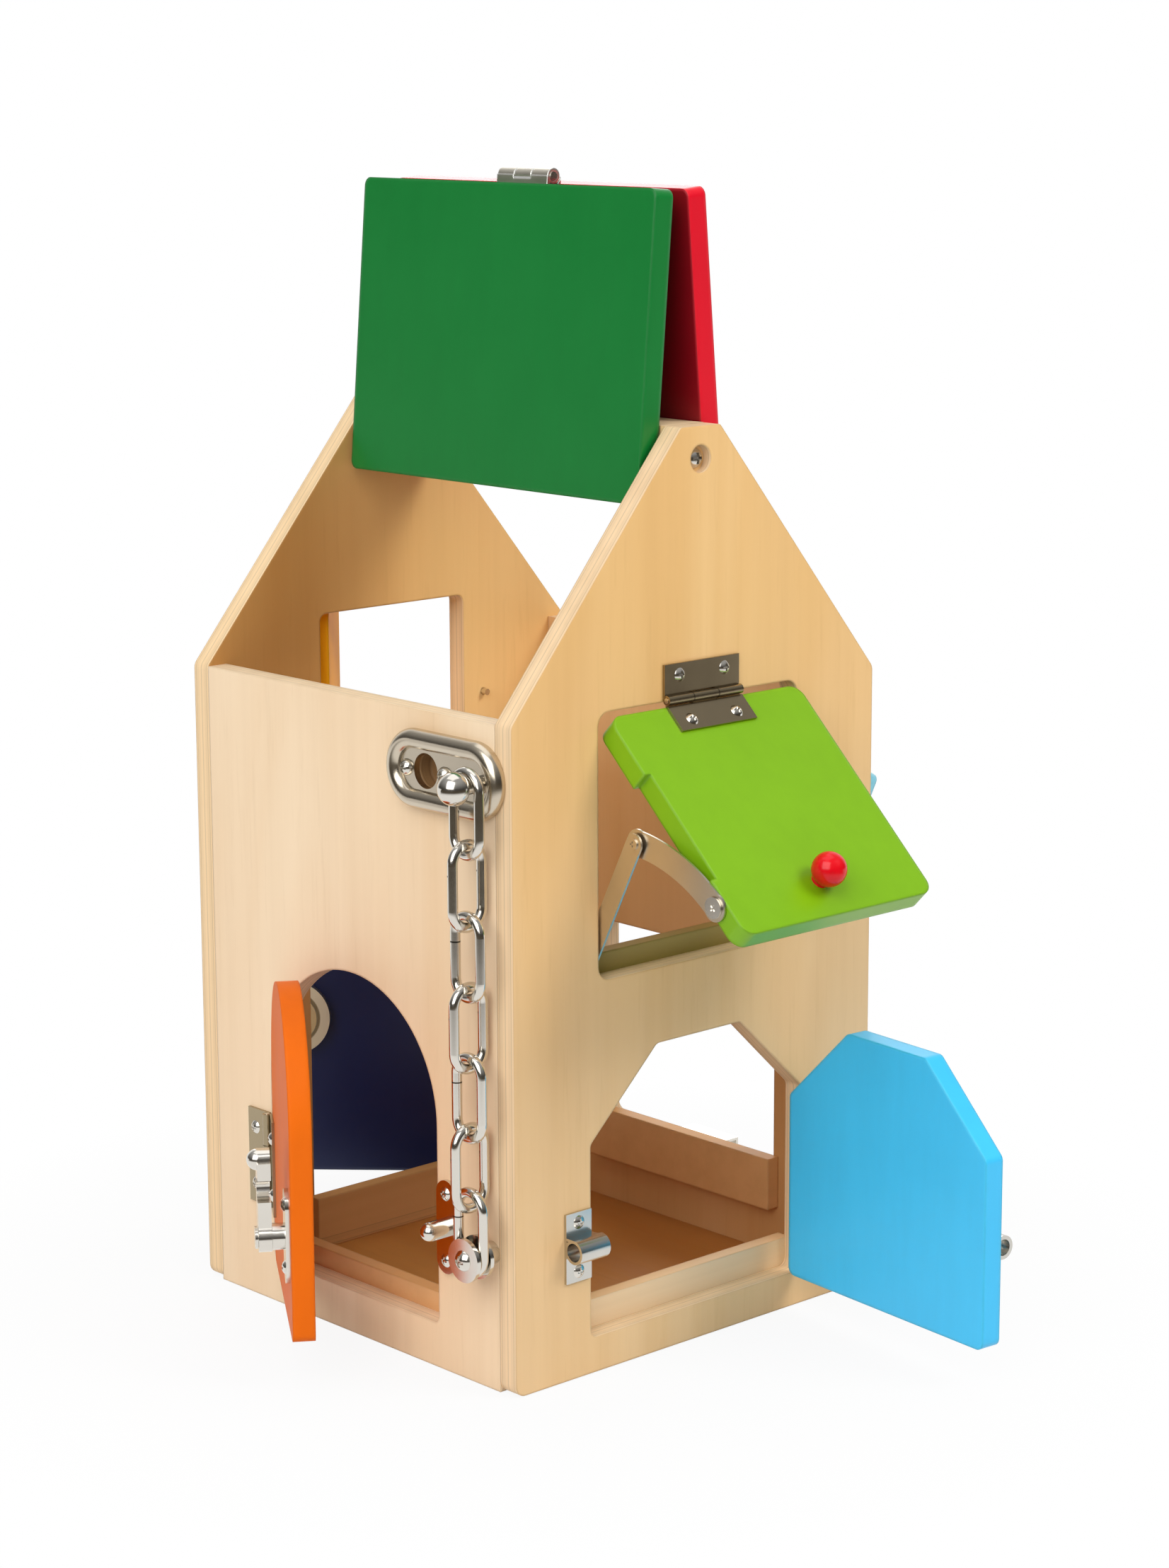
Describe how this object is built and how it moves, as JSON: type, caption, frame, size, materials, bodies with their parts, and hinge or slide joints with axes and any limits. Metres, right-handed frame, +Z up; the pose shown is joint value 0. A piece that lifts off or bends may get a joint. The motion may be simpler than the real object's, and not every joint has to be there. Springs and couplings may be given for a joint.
{
  "type": "wooden lock house",
  "caption": "Plywood play house with five doors, a raised hinged roof and a different household lock on each opening.",
  "frame": {"origin": "centre of the square footprint, on the ground", "axes": "+Z up, -Y out of the front gable with the hatch and the six-sided door, -X out of the arched door's wall"},
  "size_m": [0.2751, 0.3319, 0.4017],
  "materials": {
    "ply": "satin",
    "inner_wood": "satin",
    "lime_paint": "satin",
    "sky_paint": "satin",
    "orange_paint": "satin",
    "navy_paint": "satin",
    "amber_paint": "satin",
    "cyan_paint": "satin",
    "green_paint": "satin",
    "red_paint": "satin",
    "red_gloss": "gloss",
    "nickel": "polished"
  },
  "bodies": {
    "house": {"front_gable": "ply", "back_gable": "ply", "left_wall": "ply", "right_wall": "ply", "floor_panel": "inner_wood", "ridge_beam": "inner_wood", "stop_strips": "inner_wood", "frame_hinge_leaves": "nickel", "frame_hinge_pins": "nickel", "house_screws": "nickel", "bolt_keeper": "nickel", "hook_keeper": "nickel", "latch_catch": "nickel", "chain_plate": "nickel", "chain_stud": "nickel", "chain_anchor": "nickel", "chain_link_7": "nickel"},
    "hatch": {"hatch_panel": "lime_paint", "hatch_hinge_leaf": "nickel", "hatch_knob": "red_gloss", "hatch_screws": "nickel"},
    "stay_lower": {"stay_lower_link": "nickel"},
    "stay_upper": {"stay_upper_link": "nickel"},
    "front_door": {"front_door_panel": "sky_paint", "front_door_hinge_leaf": "nickel", "front_door_screws": "nickel", "bolt_barrel": "nickel"},
    "bolt": {"bolt_rod": "nickel"},
    "arch_door": {"arch_door_panel": "orange_paint", "arch_door_hinge_leaf": "nickel", "arch_door_screws": "nickel", "hook_base": "nickel"},
    "hook": {"hook_lever": "nickel"},
    "back_door": {"back_door_panel": "navy_paint", "back_door_hinge_leaf": "nickel", "back_door_screws": "nickel", "lock_body": "nickel", "lock_nut": "nickel"},
    "lock_cam": {"lock_cam": "nickel"},
    "window_door": {"window_door_panel": "amber_paint", "window_door_hinge_leaf": "nickel", "window_door_screws": "nickel"},
    "turn_button": {"turn_button": "nickel"},
    "flap": {"flap_panel": "cyan_paint", "flap_hinge_leaf": "nickel", "flap_screws": "nickel", "latch_base": "nickel"},
    "latch_lever": {"latch_lever": "nickel"},
    "latch_bail": {"latch_bail": "nickel"},
    "roof_hinge": {"roof_hinge_pin": "nickel"},
    "roof_left": {"roof_left_panel": "green_paint", "roof_left_hinge": "nickel"},
    "roof_right": {"roof_right_panel": "red_paint", "roof_right_hinge": "nickel"},
    "link_1": {"chain_link_1": "nickel"},
    "link_2": {"chain_link_2": "nickel"},
    "link_3": {"chain_link_3": "nickel"},
    "link_4": {"chain_link_4": "nickel"},
    "link_5": {"chain_link_5": "nickel"},
    "link_6": {"chain_link_6": "nickel"}
  },
  "joints": [
    {"name": "roof_lift", "type": "slide", "parent": "house", "child": "roof_hinge", "axis": [0, 0, 1], "range_m": [-0.0715, 0]},
    {"name": "roof_left_fold", "type": "hinge", "parent": "roof_hinge", "child": "roof_left", "pos_m": [0, 0, 0.399], "axis": [0, 1, 0], "range_deg": [0, 35.5]},
    {"name": "roof_right_fold", "type": "hinge", "parent": "roof_hinge", "child": "roof_right", "pos_m": [0, 0, 0.399], "axis": [0, -1, 0], "range_deg": [0, 35.5]},
    {"name": "hatch_swing", "type": "hinge", "parent": "house", "child": "hatch", "pos_m": [0, -0.0868, 0.2286], "axis": [-1, 0, 0], "range_deg": [-46, 4]},
    {"name": "stay_lower_swing", "type": "hinge", "parent": "house", "child": "stay_lower", "pos_m": [-0.04595, -0.0805, 0.1455], "axis": [1, 0, 0], "range_deg": [-24.6, 2.3]},
    {"name": "stay_upper_swing", "type": "hinge", "parent": "stay_lower", "child": "stay_upper", "pos_m": [-0.0442, -0.1013, 0.18653], "axis": [-1, 0, 0], "range_deg": [-97, 8.6]},
    {"name": "front_door_swing", "type": "hinge", "parent": "house", "child": "front_door", "pos_m": [0.0516, -0.0868, 0.053], "axis": [0, 0, 1], "range_deg": [-85, 20]},
    {"name": "bolt_slide", "type": "slide", "parent": "front_door", "child": "bolt", "axis": [-0.0872, -0.9962, 0], "range_m": [0, 0.015]},
    {"name": "arch_door_swing", "type": "hinge", "parent": "house", "child": "arch_door", "pos_m": [-0.0868, 0.0461, 0.053], "axis": [0, 0, -1], "range_deg": [-34, 98]},
    {"name": "hook_turn", "type": "hinge", "parent": "arch_door", "child": "hook", "pos_m": [-0.13041, -0.02177, 0.052], "axis": [0.829, -0.5592, 0], "range_deg": [0, 90]},
    {"name": "back_door_swing", "type": "hinge", "parent": "house", "child": "back_door", "pos_m": [0.0426, 0.0868, 0.053], "axis": [0, 0, -1], "range_deg": [-45, 90]},
    {"name": "lock_turn", "type": "hinge", "parent": "back_door", "child": "lock_cam", "pos_m": [-0.00584, 0.13269, 0.076], "axis": [-0.7071, -0.7071, 0], "range_deg": [0, 90]},
    {"name": "window_door_swing", "type": "hinge", "parent": "house", "child": "window_door", "pos_m": [-0.03485, 0.0868, 0.203], "axis": [0, 0, 1], "range_deg": [-48, 90]},
    {"name": "button_turn", "type": "hinge", "parent": "house", "child": "turn_button", "pos_m": [0.04375, 0.085, 0.203], "axis": [0, 1, 0], "range_deg": [0, 90]},
    {"name": "flap_swing", "type": "hinge", "parent": "house", "child": "flap", "pos_m": [0.0868, 0, 0.1146], "axis": [0, -1, 0], "range_deg": [-150, 4]},
    {"name": "latch_lever_turn", "type": "hinge", "parent": "flap", "child": "latch_lever", "pos_m": [0.11376, 0, 0.1667], "axis": [0, 1, 0], "range_deg": [-90, 0]},
    {"name": "latch_bail_turn", "type": "hinge", "parent": "latch_lever", "child": "latch_bail", "pos_m": [0.10857, 0, 0.1697], "axis": [0, 1, 0], "range_deg": [0, 90]},
    {"name": "chain_sway", "type": "hinge", "parent": "house", "child": "link_1", "pos_m": [-0.0944, -0.0735, 0.2133], "axis": [0, 1, 0], "range_deg": [0, 8]},
    {"name": "link_2_sway", "type": "hinge", "parent": "link_1", "child": "link_2", "pos_m": [-0.0944, -0.0735, 0.1856], "axis": [0, 1, 0], "range_deg": [-3.2, 0]},
    {"name": "link_3_sway", "type": "hinge", "parent": "link_2", "child": "link_3", "pos_m": [-0.0944, -0.0735, 0.1655], "axis": [0, 1, 0], "range_deg": [-3.2, 0]},
    {"name": "link_4_sway", "type": "hinge", "parent": "link_3", "child": "link_4", "pos_m": [-0.0944, -0.0735, 0.1378], "axis": [0, 1, 0], "range_deg": [-3.2, 0]},
    {"name": "link_5_sway", "type": "hinge", "parent": "link_4", "child": "link_5", "pos_m": [-0.0944, -0.0735, 0.1177], "axis": [0, 1, 0], "range_deg": [-3.2, 0]},
    {"name": "link_6_sway", "type": "hinge", "parent": "link_5", "child": "link_6", "pos_m": [-0.0944, -0.0735, 0.09], "axis": [0, 1, 0], "range_deg": [-3.2, 0]}
  ],
  "couplings": [
    {"joint": "roof_left_fold", "follows": "roof_lift", "rad_per_m": -8.5924},
    {"joint": "roof_right_fold", "follows": "roof_lift", "rad_per_m": -8.5924},
    {"joint": "stay_lower_swing", "follows": "hatch_swing", "ratio": 0.53},
    {"joint": "stay_upper_swing", "follows": "hatch_swing", "ratio": 2.1},
    {"joint": "latch_bail_turn", "follows": "latch_lever_turn", "ratio": -1},
    {"joint": "link_2_sway", "follows": "chain_sway", "ratio": -0.4},
    {"joint": "link_3_sway", "follows": "chain_sway", "ratio": -0.4},
    {"joint": "link_4_sway", "follows": "chain_sway", "ratio": -0.4},
    {"joint": "link_5_sway", "follows": "chain_sway", "ratio": -0.4},
    {"joint": "link_6_sway", "follows": "chain_sway", "ratio": -0.4}
  ]
}
